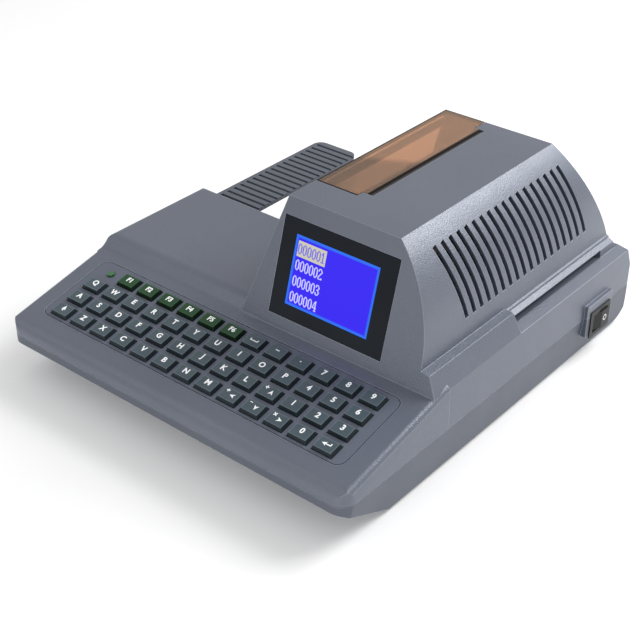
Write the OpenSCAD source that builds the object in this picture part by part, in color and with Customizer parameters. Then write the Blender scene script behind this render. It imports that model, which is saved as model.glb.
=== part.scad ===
// Desktop check writer: keyboard deck, tower with display and printer, paper support.
// Lengths in millimetres. +X is to the right of the keyboard, +Y to the rear, +Z up.

/* [Body] */
// Width of the housing at its seam
body_w = 275; // [268:0.5:282]
// Depth of the housing, front edge to rear wall
body_d = 311; // [308:0.5:316]
// Height of the tower's top over the table
body_h = 136; // [133:0.5:140]
// Wall thickness of both shells
wall = 2.8; // [2.6:0.1:3]
// Height of the seam between the shells
seam_z = 31; // [30.5:0.1:31.5]
// Height that the rubber feet lift the housing
foot_h = 2.5; // [2:0.1:3.5]
// Radius of a rubber foot
foot_r = 8; // [6:0.5:9]
// Corner radius at the front, seen from above
front_r = 10; // [8:0.5:12]
// Corner radius at the rear right, seen from above
rear_r = 8.5; // [6:0.5:10]
// Depth of the left part, under the keys and the platform
left_d = 175.5; // [173:0.5:177]
// Width of the right-hand part, behind the platform
tower_w = 148; // [147:0.5:149]
// Draft of the upper shell's side walls, degrees
side_draft = 3; // [2:0.5:4]
// Draft of the upper shell's rear wall, degrees
rear_draft = 19.2; // [17:0.1:20]
// Inward taper of the lower shell's side walls, degrees
lower_draft = 6; // [3:0.5:8]
// Radius of the lower rear edge
belly_r = 16; // [12:0.5:18]
// Where the sloping underside reaches the bottom
chin_y = 44; // [38:1:50]
// Height of the lower shell's front lip
chin_h = 6; // [4:0.5:8]
// Depth of the shadow line at the seam
reveal = 0.5; // [0.4:0.1:0.8]

/* [Keyboard deck] */
// Height of the deck plane at the front edge
deck_front_z = 40; // [39.5:0.1:41]
// Slope of the deck, degrees
deck_angle = 12.3; // [11.5:0.1:13]
// Radius of the rolled front edge
roll_r = 9; // [8:0.5:10]
// Radius of the deck's side edges
rim_r = 3.5; // [2.5:0.5:4]
// Where the platform's slope starts
slope_y = 80; // [79:0.5:81]
// Where the platform's flat top starts
platform_y = 91; // [90:0.5:93]
// Height of the platform
platform_z = 64.8; // [64:0.1:66]
// Space between the keys of a row, at the panel
key_space = 3.8; // [3.4:0.1:5]
// Key pitch up the slope
pitch_s = 13.9; // [13.7:0.1:14]
// Depth of a key at the panel
key_d = 10.3; // [9.5:0.1:10.7]
// How much narrower a key's top is than its foot, each side
key_inset = 0.9; // [0.6:0.1:1.2]
// Height of a key over the panel
key_h = 2.4; // [2:0.1:3.6]
// Travel of a key
key_travel = 1.5; // [1:0.1:1.8]
// Gap between a key and its hole
key_gap = 0.35; // [0.25:0.05:0.5]
// Thickness of the keyboard panel
panel_t = 1.6; // [1.4:0.1:1.8]
// Corner radius of the keyboard panel
panel_r = 6; // [4:0.5:8]
// Gap round the keyboard panel
panel_gap = 0.5; // [0.3:0.1:0.7]
// Radius of the power lamp
lamp_r = 2.6; // [2:0.1:3]

/* [Tower] */
// Foot of the tower's front face
tower_y = 81.3; // [81:0.1:83]
// Backward lean of the front face, degrees
front_lean = 16.3; // [15:0.1:17.5]
// Distance from the rear wall to the foot of the tower's rear wall
rear_in = 14.4; // [13:0.1:16]
// Forward lean of the tower's rear wall, degrees
rear_lean = 23.7; // [22.5:0.1:24.5]
// Draft of the tower's left wall, degrees
left_draft = 15; // [14.5:0.1:15.4]
// Radius of the curved right wall
crown_r = 93.4; // [92:0.2:95]
// Height of the centre of the curved right wall
crown_z = 66.6; // [65:0.2:68]
// Distance from the right side to the curved wall
crown_in = 14; // [13:0.2:15]

/* [Vents] */
// Number of vent slots
vent_count = 18; // [10:1:18]
// Distance from the last slot to the rear edge of the top
vent_in = 8.2; // [7:0.1:10]
// Width of a vent slot
vent_w = 3.6; // [2.5:0.1:4]
// First slot's place
vent_y = 122.7; // [121:0.1:124]
// Distance from the top down to the vent slots
vent_low = 9.7; // [9:0.1:14]
// Bottom of the vent slots
vent_bottom = 82.6; // [81:0.1:90]
// Tilt of the vent slots, degrees
vent_tilt = 11; // [8:0.5:12]

/* [Shoulder and paper slot] */
// Height of the shoulder's outer edge
edge_z = 57.6; // [57:0.1:58.2]
// Floor of the paper slot
slot_z = 59.5; // [59:0.1:59.8]
// Height of the paper slot
slot_h = 5; // [4.8:0.1:5.4]
// Front end of the paper slot
slot_y0 = 172.5; // [172:0.5:174]
// Distance from the rear wall to the paper slot
slot_in = 33; // [32:0.5:35]
// Distance from the right side to the slot's lip
lip_in = 9.1; // [8.6:0.1:9.6]
// Distance from the right side to the raised block's rim
rim_in = 8; // [7.5:0.1:8.5]
// Height of the raised block
block_z = 69.5; // [68.5:0.1:70.5]
// Radius of the bead along the tower's foot
bead_r = 1.3; // [1:0.1:1.6]
// Rear end of the raised block
block_y1 = 170.5; // [168:0.5:172]

/* [Display] */
// Width of the black display window
win_w = 85; // [83:0.5:87]
// Distance from the window's left edge to the tower part's left side
win_in = 21; // [20:0.5:22]
// Distance from the window up to the top edge of the face
win_top = 11.75; // [11:0.05:13]
// Distance up the face to the window
win_s = 8; // [7:0.5:9]
// Thickness of the display window
win_t = 1.6; // [1.4:0.1:1.8]
// Width of the view area
view_w = 62; // [60:0.5:64]
// Distance from the view area up to the window's edge
view_top = 9.1; // [8:0.1:10]
// Distance from the window's left edge to the view area
view_x = 10.6; // [9:0.1:12]
// Distance up the window to the view area
view_s = 8.7; // [8:0.1:10]

/* [Lid] */
// Front edge of the lid
lid_y = 129; // [128:0.5:130]
// Hinge axis of the lid, from the tower part's left side
hinge_in = 56; // [55:0.5:57]
// Radius of the lid's hinge barrel
barrel_r = 3.3; // [3:0.1:3.5]
// Radius of the hinge pins
hinge_pin_r = 1.5; // [1.2:0.1:1.8]
// Thickness of the lid
lid_t = 2.2; // [1.8:0.1:2.4]
// Lower edge of the lid's skirts
skirt_z = 103; // [101:0.5:105]
// Gap round the lid
lid_gap = 0.4; // [0.3:0.05:0.5]
// Distance from the hinge barrel to the rear edge of the top
barrel_in = 12.2; // [11:0.2:14]
// Length of the front hinge ear
ear_d = 5.5; // [5:0.1:6.5]

/* [Paper support] */
// Distance from the left side to the paper support
tray_x = 12.8; // [11:0.2:15]
// Width of the paper support
tray_w = 37.5; // [35:0.5:39]
// Length of the paper support behind the platform
tray_len = 118.5; // [112:0.5:120]
// Height of the paper support's top
tray_z = 61.4; // [61:0.1:61.6]
// Thickness of the paper support
tray_t = 3.2; // [3:0.1:4]
// Length of the paper support held in the platform
tray_grip = 20; // [16:0.5:22]
// Number of grooves
groove_count = 17; // [8:1:17]
// Spacing of the grooves
groove_pitch = 6.6; // [6.2:0.1:6.6]
// Width of a groove
groove_w = 2.4; // [1.6:0.1:3]
// Depth of a groove
groove_h = 1.2; // [0.8:0.1:1.6]
// How far the paper support slides in
tray_travel = 48; // [30:1:50]

/* [Power switch] */
// Distance from the rear wall to the switch
switch_in = 47; // [45:0.5:49]
// Height of the switch's centre
switch_z = 23.6; // [23:0.1:24.2]
// Width of the switch bezel
bezel_w = 24.5; // [23:0.5:25]
// Height of the switch bezel
bezel_h = 19.5; // [18:0.5:20]
// How far the boss stands out of the side
boss_out = 2.5; // [2.2:0.1:2.8]
// Tilt of the rocker, degrees
rocker_tilt = 9; // [7:0.5:10]

/* [Printer] */
// Height of the paper plane
paper_z = 61.8; // [61.6:0.1:62]
// Front frame plate
plate_y0 = 166; // [165:0.5:167]
// Distance from the rear wall to the rear frame plate
plate_in = 27; // [26.5:0.1:27.5]
// Thickness of a frame plate
plate_t = 2; // [1.5:0.1:2.2]
// Height of the frame plates' top
plate_z = 75.5; // [75:0.1:76]
// Line of the print head, from the tower part's left side
head_in = 73; // [72:0.5:74]
// Radius of the feed rollers
roller_r = 7.6; // [7.2:0.1:7.8]
// Radius of the pinch rollers
pinch_r = 5; // [4.5:0.1:5.4]
// Radius of the roller shafts
shaft_r = 3; // [2.6:0.1:3.2]
// Radius of the guide rods
rod_r = 3; // [2.5:0.1:3.2]
// Radius of the belt pulleys
pulley_r = 5; // [4.5:0.1:5.4]
// Running clearance of shafts and rods
fit = 0.05; // [0.03:0.01:0.08]
// Tooth pitch of the feed gears, as a module
gear_m = 1; // [0.99:0.01:1]

/* [Hidden] */
rocker_out = 1.8;
rocker_x = body_w + boss_out + rocker_out;
total_w = rocker_x;
tower_x = body_w - tower_w;
deck_tan = tan(deck_angle);
face_z = deck_front_z + tower_y * deck_tan;
floor_z = foot_h + wall;
crown_x = body_w - crown_in - crown_r;
top_left_x = tower_x + (body_h - edge_z) * tan(left_draft);
top_rear_y = body_d - rear_in - (body_h - slot_z) * tan(rear_lean);
rear_top_y = top_rear_y + (body_h - edge_z) * tan(rear_lean);
shoulder_y = body_d - (edge_z - seam_z) * tan(rear_draft);
edge_x = body_w - (edge_z - seam_z) * tan(side_draft);
lip_x = body_w - lip_in;
slot_y1 = body_d - slot_in;
plate_y1 = body_d - plate_in;
vent_top = body_h - vent_low;
vent_pitch = (top_rear_y - vent_in - vent_y) / (vent_count - 1);
key_s0 = 18.4;
key_x1 = body_w - 24;
panel_x = 14.5;
panel_w = body_w - 2 * panel_x - 1.5;
pitch_x = (panel_w - 10.5) / 13;
key_w = pitch_x - key_space;
panel_s = 16.2;
panel_d = 58;
key_low = panel_t + 1.3;
mat_top = key_low + key_travel + 0.3;
mat_t = 4;
board_t = 1.6;
board_low = mat_top + mat_t + board_t;
switch_y = body_d - switch_in;
boss_w = 31.5;
boss_h = 23;
face_h = (body_h - face_z) / cos(front_lean);
win_x = tower_x + win_in;
win_h = face_h - win_s - win_top;
view_h = win_h - view_s - view_top;
hinge_x = tower_x + hinge_in;
lid_edge = hinge_x - barrel_r - 0.6;
barrel_y1 = top_rear_y - barrel_in;
inlet_x = body_w - 70;
head_x = tower_x + head_in;
carriage_d = 22;
band = (slot_y1 - slot_y0 + 3) / 3;
roller_z = paper_z - roller_r;
pinch_z = paper_z + 0.3 + pinch_r;
rod_z = 71.2;
rod_span = 16;
roller_span = 32 * gear_m;
idler_r = 12 * gear_m;
pinion_r = 6 * gear_m;
pinion_z = roller_z - idler_r - pinion_r;
gear_y = 158;
gear_t = 5;
head_y = (plate_y0 + plate_y1) / 2;
belt_x = head_x + 23;
belt_w = 6;
belt_z = 85;
belt_y0 = 150;
belt_y1 = plate_y1 - 12;
belt_t = 1.2;
deck_z = 95;
ribbon_y0 = plate_y0 + 8;
ribbon_y1 = plate_y1 - 22;
board_x = tower_x + 11;
board_w = tower_w - 28.5;
supply_x = tower_x - 17;
screw_seat = 20;
screw_at = [[11.5, 80], [tower_x + 1, 82], [body_w - 12, 79], [10, left_d - 9.5],
            [tower_x - 9, left_d - 9.5], [body_w - 13, body_d - 79], [tower_x + 13, body_d - 17]];
foot_at = [[26, 62], [body_w - 26, 62], [26, left_d - 23.5], [body_w - 26, body_d - 27],
           [tower_x + 23, body_d - 25]];
plain = "#5b6660";
green = "#27543a";

// ---- directions ----
module place() {
    translate([-total_w / 2, -body_d / 2, 0])
        children();
}

module along_x(x0, x1) {
    translate([x0, 0, 0])
        rotate([90, 0, 90])
            linear_extrude(x1 - x0)
                children();
}

module along_y(y0, y1) {
    translate([0, y1, 0])
        rotate([90, 0, 0])
            linear_extrude(y1 - y0)
                children();
}

module on_deck() {
    translate([0, 0, deck_front_z])
        rotate([deck_angle, 0, 0])
            children();
}

module on_face() {
    translate([0, tower_y, face_z])
        rotate([90 - front_lean, 0, 0])
            children();
}

module on_rear() {
    translate([0, body_d, seam_z])
        rotate([rear_draft, 0, 0])
            children();
}

module block(x0, x1, y0, y1, z0, z1) {
    translate([x0, y0, z0])
        cube([x1 - x0, y1 - y0, z1 - z0]);
}

module rounded(w, h, r) {
    polygon([[r[0], 0], [w - r[1], 0], [w, r[1]], [w, h - r[2]],
             [w - r[2], h], [r[3], h], [0, h - r[3]], [0, r[0]]]);
    translate([r[0], r[0]])
        circle(r[0], $fn = 48);
    translate([w - r[1], r[1]])
        circle(r[1], $fn = 48);
    translate([w - r[2], h - r[2]])
        circle(r[2], $fn = 48);
    translate([r[3], h - r[3]])
        circle(r[3], $fn = 48);
}

// ---- housing shape: i is the inset, 0 outside, wall inside ----
module plan(i) {
    translate([i, i])
        rounded(tower_x + 33 - i, left_d - 2 * i, [front_r - i, 2, 2, 4 - i]);
    translate([tower_x + i, i])
        rounded(body_w - tower_x - 2 * i, body_d - 2 * i, [2, front_r - i, rear_r - i, 4 - i]);
}

module deck_side(i, y1) {
    r = roll_r - i;
    cz = deck_front_z + roll_r * deck_tan - roll_r / cos(deck_angle);
    drop = i / cos(deck_angle);
    polygon([[i, 20], [i, cz], [roll_r - r * sin(deck_angle), cz + r * cos(deck_angle)],
             [y1, deck_front_z + y1 * deck_tan - drop], [y1, 20]]);
    translate([roll_r, cz])
        circle(r, $fn = 64);
}

module deck_section(i) {
    t = tan(side_draft);
    x0 = i + 9 * t;
    x1 = body_w - x0;
    r = max(rim_r - i, 0.7);
    polygon([[x0 - 30 * t, -30 - i], [x0 - r * t, -i - r], [x0 + r, -i],
             [x1 - r, -i], [x1 + r * t, -i - r], [x1 + 30 * t, -30 - i]]);
    translate([x0 + r, -i - r])
        circle(r, $fn = 32);
    translate([x1 - r, -i - r])
        circle(r, $fn = 32);
}

module side_section(i, top) {
    t = tan(side_draft);
    polygon([[i - 11 * t, seam_z - 11], [body_w - i + 11 * t, seam_z - 11],
             [body_w - i - (top - i - seam_z) * t, top - i], [i + (top - i - seam_z) * t, top - i]]);
}

module deck_form(i) {
    intersection() {
        translate([0, 0, 20])
            linear_extrude(60)
                plan(i);
        along_x(0, body_w)
            deck_side(i, platform_y + 4);
        on_deck()
            translate([0, 120, 0])
                rotate([90, 0, 0])
                    linear_extrude(150)
                        deck_section(i);
    }
}

module platform_side(i) {
    rise = atan((platform_z - 57.6) / (platform_y - slope_y));
    r = 9 - i;
    foot = deck_front_z + (slope_y + i) * deck_tan - i;
    bend = platform_y + 1.5;
    polygon([[slope_y - 4 + i, 20], [slope_y - 4 + i, foot - 4 * deck_tan], [slope_y + i, foot],
             [slope_y + 2 + i, foot + 1], [bend - r * sin(rise), platform_z - 9 + r * cos(rise)],
             [bend, platform_z - i], [left_d - i, platform_z - i], [left_d - i, 20]]);
    translate([bend, platform_z - 9])
        circle(r, $fn = 64);
}

module platform_form(i) {
    r = rim_r - i / 2;
    x0 = i + (platform_z - seam_z) * tan(side_draft);
    intersection() {
        along_x(0, tower_x + 14)
            platform_side(i);
        translate([0, 0, 20])
            linear_extrude(60)
                plan(i);
        along_y(50, 200)
            union() {
                polygon([[i - 11 * tan(side_draft), 20], [150, 20], [150, platform_z - i],
                         [x0 + r, platform_z - i], [x0 + r * tan(side_draft), platform_z - i - r]]);
                translate([x0 + r, platform_z - i - r])
                    circle(r, $fn = 32);
            }
    }
}

module rear_side(i) {
    polygon([[88, 20], [88, edge_z + 0.4 - i],
             [shoulder_y - 0.4 * tan(rear_draft) - i, edge_z + 0.4 - i],
             [body_d - i, seam_z], [body_d - i, 20]]);
}

module rear_form(i) {
    intersection() {
        along_x(0, body_w)
            rear_side(i);
        translate([0, 0, 20])
            linear_extrude(60)
                plan(i);
        along_y(80, body_d)
            polygon([[tower_x + i, 20], [body_w - i + 1, 20], [body_w - i, seam_z],
                     [edge_x - i, edge_z - i], [lip_x, edge_z + 0.4 - i], [tower_x + i, edge_z + 0.4 - i]]);
    }
}

module tower_side(i) {
    f = i / cos(front_lean);
    b = i / cos(rear_lean);
    low = 47;
    polygon([[tower_y + f + (low - face_z) * tan(front_lean), low],
             [tower_y + f + (body_h - i - face_z) * tan(front_lean), body_h - i],
             [top_rear_y - b + i * tan(rear_lean), body_h - i],
             [top_rear_y - b + (body_h - low) * tan(rear_lean), low]]);
}

module tower_section(i) {
    s = i / cos(left_draft);
    low = 47;
    intersection() {
        polygon([[top_left_x + s - (body_h - low) * tan(left_draft), low],
                 [top_left_x + s - i * tan(left_draft), body_h - i],
                 [body_w, body_h - i], [body_w, low]]);
        translate([crown_x, crown_z])
            circle(crown_r - i, $fn = 160);
    }
}

module tower_form(i) {
    intersection() {
        along_x(tower_x - 30, body_w)
            tower_side(i);
        along_y(60, body_d)
            tower_section(i);
        block(0, body_w, 0, body_d - i - (47 - seam_z) * tan(rear_draft), 47, 200);
    }
}

// Height of the bead above the slot, and where the tower's right curve meets it
bead_z = slot_z + slot_h + 3.2;
crown_foot = crown_x + crown_r * cos(asin((block_z + 0.5 - crown_z) / crown_r));

module block_section() {
    side_x = body_w - (47 - seam_z) * tan(side_draft);
    polygon([[body_w - 35, 47], [side_x, 47], [edge_x, edge_z], [body_w - rim_in, block_z],
             [crown_foot, block_z + 0.5], [body_w - 35, block_z]]);
}

module lip_section() {
    side_x = body_w - (47 - seam_z) * tan(side_draft);
    polygon([[body_w - 35, 47], [side_x, 47], [edge_x, edge_z], [lip_x, slot_z],
             [lip_x - 0.6, slot_z + slot_h], [crown_foot + 0.4, bead_z], [crown_foot, block_z],
             [body_w - 35, block_z]]);
    translate([crown_foot + 0.2, bead_z])
        circle(bead_r, $fn = 32);
}

// The tower with the raised block and the lip beside it, cut by one side profile
module tower_mass() {
    intersection() {
        along_x(tower_x - 30, body_w)
            tower_side(0);
        union() {
            along_y(60, block_y1) {
                tower_section(0);
                block_section();
            }
            along_y(60, body_d) {
                tower_section(0);
                lip_section();
            }
        }
        block(0, body_w, 0, body_d - (47 - seam_z) * tan(rear_draft), 47, 200);
    }
}

// The lip runs on behind the tower, to the rear wall
module lip_tail() {
    low = edge_z - 1;
    y1 = body_d - (low - seam_z) * tan(rear_draft);
    intersection() {
        along_y(slot_y1 + 2, body_d)
            polygon([[body_w - 30, low], [edge_x, low], [edge_x, edge_z], [lip_x, slot_z],
                     [lip_x - 4, slot_z], [body_w - 30, edge_z + 0.2]]);
        along_x(body_w - 40, body_w)
            polygon([[slot_y1, low - 1], [y1 + tan(rear_draft), low - 1],
                     [y1 - 4 * tan(rear_draft), low + 4], [slot_y1, low + 4]]);
    }
}

// Solid under the shoulder that the shell's cavity takes away again
module shoulder_room() {
    along_y(tower_y + 6, rear_top_y - 6)
        polygon([[body_w - 35, 40], [body_w - wall - 1, 40], [edge_x - wall - 0.4, edge_z - wall],
                 [lip_x - 3, slot_z - wall], [lip_x - 7, slot_z - wall], [crown_x + crown_r - wall, crown_z - 4],
                 [body_w - 35, crown_z]]);
    along_y(tower_y + 6, block_y1 - wall)
        polygon([[body_w - 35, 40], [body_w - wall - 1, 40], [edge_x - wall - 0.4, edge_z - wall],
                 [body_w - rim_in - wall + 0.4, block_z - wall], [body_w - 35, block_z - wall]]);
}

module lower_form(i) {
    t = tan(lower_draft);
    low = foot_h + i;
    br = belly_r - i;
    lip_z = seam_z - chin_h;
    intersection() {
        linear_extrude(seam_z + (i > 0 ? 5 : 0))
            plan(i);
        union() {
            along_x(0, body_w)
                polygon([[i, seam_z + 6], [i, lip_z + i / 2], [3 + i, lip_z - 1 + i / 2],
                         [chin_y + i / 2, low], [body_d - belly_r, low],
                         [body_d - belly_r, foot_h + belly_r], [body_d - i, foot_h + belly_r],
                         [body_d - i, seam_z + 6]]);
            translate([0, body_d - belly_r, foot_h + belly_r])
                rotate([0, 90, 0])
                    cylinder(body_w, r = br, $fn = 64);
        }
        along_y(0, body_d)
            polygon([[i + (seam_z - foot_h) * t, foot_h], [body_w - i - (seam_z - foot_h) * t, foot_h],
                     [body_w - i, seam_z], [body_w - i, seam_z + 8], [i, seam_z + 8], [i, seam_z]]);
    }
}

// ---- shared outlines ----
module panel_outline(g) {
    translate([panel_x - g, panel_s - g])
        rounded(panel_w + 2 * g, panel_d + 2 * g, [panel_r, panel_r, panel_r, panel_r] + [g, g, g, g]);
}

function key_left(c) = key_x1 + (c - 12) * pitch_x - key_w;
function key_front(r) = key_s0 + (3 - r) * pitch_s;

module key_holes() {
    for (r = [0:3]) {
        for (c = [(r == 0 ? 1 : 0):12]) {
            translate([key_left(c) - key_gap, key_front(r) - key_gap])
                square([key_w + 2 * key_gap, key_d + 2 * key_gap]);
        }
    }
}

module lid_region(g) {
    block(tower_x - 30, hinge_x + barrel_r + g, lid_y + ear_d - g, barrel_y1 + g, skirt_z - g, body_h + 9);
    block(tower_x - 30, lid_edge + g, lid_y - g, body_d, skirt_z - g, body_h + 9);
}

module slide_bay(g) {
    block(tray_x - g, tray_x + tray_w + g, left_d - wall - tray_grip - tray_travel - 1,
          left_d + 5, tray_z - tray_t - g, tray_z + g);
}

module boss() {
    along_x(body_w - 8, body_w + boss_out)
        translate([switch_y - boss_w / 2 - 1.2, switch_z + 4.5 - boss_h / 2])
            rounded(boss_w, boss_h, [1, 1, 1, 1]);
}

module switch_hole() {
    block(body_w - 35, body_w + 10, switch_y - 10.2, switch_y + 10.2, switch_z - 7.8, switch_z + 7.8);
}

// ---- housing ----
module upper_housing() {
    color("#56647a")
        place()
            difference() {
                union() {
                    intersection() {
                        union() {
                            difference() {
                                union() {
                                    deck_form(0);
                                    platform_form(0);
                                    rear_form(0);
                                    tower_mass();
                                    lip_tail();
                                }
                                deck_form(wall);
                                platform_form(wall);
                                rear_form(wall);
                                tower_form(wall);
                                shoulder_room();
                            }
                            screw_posts();
                            deck_ribs();
                            tray_rails();
                            boss();
                        }
                        block(-1, total_w + 1, -1, body_d + 1, seam_z, 200);
                    }
                    hinge_ears();
                }
                on_deck()
                    translate([0, 0, -panel_t])
                        linear_extrude(20)
                            panel_outline(panel_gap);
                on_deck()
                    translate([0, 0, -panel_t - 4])
                        linear_extrude(10)
                            panel_outline(-1.1);
                window_cut();
                vents();
                lid_region(lid_gap);
                paper_gaps();
                intersection() {
                    slide_bay(0.35);
                    block(0, 100, left_d - wall - 1, left_d + 5, 40, 80);
                }
                switch_hole();
                for (p = screw_at)
                    translate([p[0], p[1], 0])
                        cylinder(seam_z + 9, r = 1.35, $fn = 24);
                on_rear()
                    block(inlet_x - 13.8, inlet_x + 13.8, -8, 8, 4.9, 24.1);
                hinge_bores();
            }
}

function post_top(p) = p[1] < 100 ? deck_front_z + p[1] * deck_tan :
                       p[1] < left_d && p[0] > tray_x + tray_w ? platform_z : edge_z;

module screw_posts() {
    for (p = screw_at)
        translate([p[0], p[1], seam_z - 5])
            cylinder(post_top(p) - seam_z + 3.5, r = 3.6, $fn = 32);
}

module deck_ribs() {
    on_deck() {
        block(20, body_w - 21, panel_s - 2.2, panel_s - 0.6, -board_low - 0.2, -wall + 0.2);
        block(20, body_w - 21, panel_s + panel_d + 0.6, panel_s + panel_d + 2.2, -board_low - 0.2, -wall + 0.2);
    }
}

module tray_rails() {
    y0 = left_d - wall - tray_grip - tray_travel;
    for (x = [tray_x - 2.4, tray_x + tray_w + 0.4])
        block(x, x + 2, y0, left_d - 1, tray_z - tray_t - 2.4, platform_z - 1);
    for (x = [tray_x - 2.4, tray_x + tray_w - 2.6])
        block(x, x + 5, y0, left_d - 1, tray_z - tray_t - 2.4, tray_z - tray_t - 0.4);
}

module window_cut() {
    on_face() {
        translate([win_x - 0.2, win_s - 0.2, -win_t])
            cube([win_w + 0.4, win_h + 0.4, 10]);
        translate([win_x + 3, win_s + 3, -10])
            cube([win_w - 6, win_h - 6, 20]);
    }
}

module vents() {
    run = (vent_top - vent_bottom) / cos(vent_tilt);
    for (k = [0:vent_count - 1])
        translate([body_w - 60, vent_y + k * vent_pitch, vent_top])
            rotate([vent_tilt, 0, 0])
                translate([0, -vent_w / 2, -run])
                    cube([60, vent_w, run]);
}

module paper_gaps() {
    block(lip_x - 12, body_w + 5, slot_y0, slot_y1, slot_z, slot_z + slot_h);
    block(tower_x - 5, tower_x + 14, left_d + 1, slot_y1, slot_z, slot_z + slot_h + 1);
}

module hinge_ears() {
    h = body_h - 2 * barrel_r - 2;
    block(hinge_x - barrel_r - 0.2, hinge_x + barrel_r + 6, lid_y - 4, lid_y + ear_d - lid_gap, h, body_h - 0.5);
    block(hinge_x - barrel_r - 0.2, hinge_x + barrel_r + 6, barrel_y1 + lid_gap, barrel_y1 + 7, h, body_h - 0.5);
}

module hinge_bores() {
    translate([hinge_x, lid_y - 1, body_h - barrel_r])
        rotate([-90, 0, 0])
            cylinder(barrel_y1 - lid_y + 5.5, r = hinge_pin_r + fit, $fn = 32);
}

module lower_housing() {
    color("#4c596d")
        place()
            difference() {
                union() {
                    difference() {
                        union() {
                            intersection() {
                                lower_form(0);
                                union() {
                                    block(-1, total_w + 1, -1, body_d + 1, 0, seam_z - reveal);
                                    linear_extrude(seam_z)
                                        plan(reveal);
                                }
                            }
                            intersection() {
                                boss();
                                block(0, total_w + 1, 0, body_d, 0, seam_z);
                            }
                        }
                        lower_form(wall);
                    }
                    intersection() {
                        union() {
                            for (p = screw_at)
                                translate([p[0], p[1], foot_h])
                                    cylinder(seam_z - 5.2 - foot_h, r = 4.6, $fn = 32);
                            board_posts();
                        }
                        lower_form(0);
                    }
                }
                switch_hole();
                for (p = screw_at) {
                    translate([p[0], p[1], 0])
                        cylinder(40, r = 1.7, $fn = 24);
                    translate([p[0], p[1], 0])
                        cylinder(screw_seat, r = 3.4, $fn = 24);
                }
                feet(0.2);
                bottom_vents();
            }
}

module board_posts() {
    for (x = [board_x + 7, board_x + board_w - 5.5], y = [72, 150])
        translate([x, y, foot_h])
            cylinder(floor_z - foot_h + 6, r = 3, $fn = 24);
    for (x = [24, supply_x - 6], y = [98, 152])
        translate([x, y, foot_h])
            cylinder(floor_z - foot_h + 4, r = 3, $fn = 24);
}

module bottom_vents() {
    for (k = [0:7])
        block(40 + k * 8, 43 + k * 8, 110, 150, 0, 8);
}

module feet(g) {
    for (p = foot_at)
        translate([p[0], p[1], 0])
            cylinder(foot_h + 1, r = foot_r + g, $fn = 48);
}

module rubber_feet() {
    color("#1d1f22")
        place()
            feet(0);
}

module housing_screws() {
    color("#9aa0a6")
        place()
            for (p = screw_at)
                translate([p[0], p[1], screw_seat]) {
                    difference() {
                        translate([0, 0, -2])
                            cylinder(2, r = 3, $fn = 24);
                        translate([0, 0, -2.5])
                            cylinder(1.5, r = 1.4, $fn = 6);
                    }
                    cylinder(12, r = 1.3, $fn = 24);
                }
}

// ---- keyboard ----
module keyboard_panel() {
    color("#4a5648")
        place()
            on_deck()
                translate([0, 0, -panel_t])
                    linear_extrude(panel_t)
                        difference() {
                            panel_outline(0);
                            key_holes();
                            translate([key_left(0) + key_w / 2 + 0.6, key_front(0) + key_d / 2])
                                circle(lamp_r + 0.1, $fn = 48);
                        }
}

module key_solid(r, c) {
    x0 = key_left(c);
    s0 = key_front(r);
    on_deck()
        translate([x0, s0, 0]) {
            intersection() {
                along_y(0, key_d)
                    polygon([[0, -key_low], [key_w, -key_low], [key_w, 0],
                             [key_w - key_inset, key_h], [key_inset, key_h], [0, 0]]);
                along_x(0, key_w)
                    polygon([[0, -key_low], [key_d, -key_low], [key_d, 0],
                             [key_d - key_inset, key_h], [key_inset, key_h], [0, 0]]);
            }
            block(-0.9, key_w + 0.9, -0.9, key_d + 0.9, -key_low, -key_low + 1);
            block(key_w / 2 - 2.2, key_w / 2 + 2.2, key_d / 2 - 2.2, key_d / 2 + 2.2,
                  -mat_top - 1.6, -key_low + 0.5);
        }
}

module key(r, c, tint) {
    color(tint)
        place()
            key_solid(r, c);
}

module key_mat() {
    color("#b9b7ae")
        place()
            on_deck()
                translate([0, 0, -mat_top - mat_t])
                    linear_extrude(mat_t)
                        difference() {
                            translate([panel_x + 3.5, panel_s + 0.4])
                                square([panel_w - 8.5, panel_d - 0.8]);
                            for (r = [0:3], c = [(r == 0 ? 1 : 0):12])
                                translate([key_left(c) + key_w / 2 - 2.5, key_front(r) + key_d / 2 - 2.5])
                                    square(5);
                        }
}

module keypad_board() {
    color("#2f6b45")
        place()
            on_deck() {
                translate([panel_x + 3.5, panel_s + 0.2, -board_low])
                    cube([panel_w - 8.5, panel_d - 0.4, board_t]);
                translate([120, panel_s + 20, -board_low - 5])
                    cube([34, 8, 5]);
            }
}

module status_lamp() {
    color("#1f8a3c")
        place()
            on_deck()
                translate([key_left(0) + key_w / 2 + 0.6, key_front(0) + key_d / 2, 0]) {
                    translate([0, 0, -mat_top])
                        cylinder(mat_top, r = lamp_r, $fn = 48);
                    intersection() {
                        sphere(lamp_r, $fn = 48);
                        translate([-5, -5, 0])
                            cube([10, 10, 1.2]);
                    }
                }
}

// ---- display ----
module display_window() {
    color("#0c0d12")
        place()
            on_face()
                difference() {
                    translate([win_x, win_s, -win_t])
                        cube([win_w, win_h, win_t]);
                    translate([win_x + view_x - 0.1, win_s + view_s - 0.1, -win_t - 1])
                        cube([view_w + 0.2, view_h + 0.2, win_t + 2]);
                }
}

module display_module() {
    color("#2b3a9c")
        place()
            on_face() {
                translate([win_x + view_x - 8, win_s + view_s - 8, -wall - 8.6])
                    cube([view_w + 16, view_h + 16, 1.6]);
                translate([win_x + view_x - 5, win_s + view_s - 4, -wall - 7])
                    cube([view_w + 10, view_h + 8, 5.2]);
                translate([win_x + view_x, win_s + view_s, -wall - 2])
                    cube([view_w, view_h, wall + 1.7]);
            }
}

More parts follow.
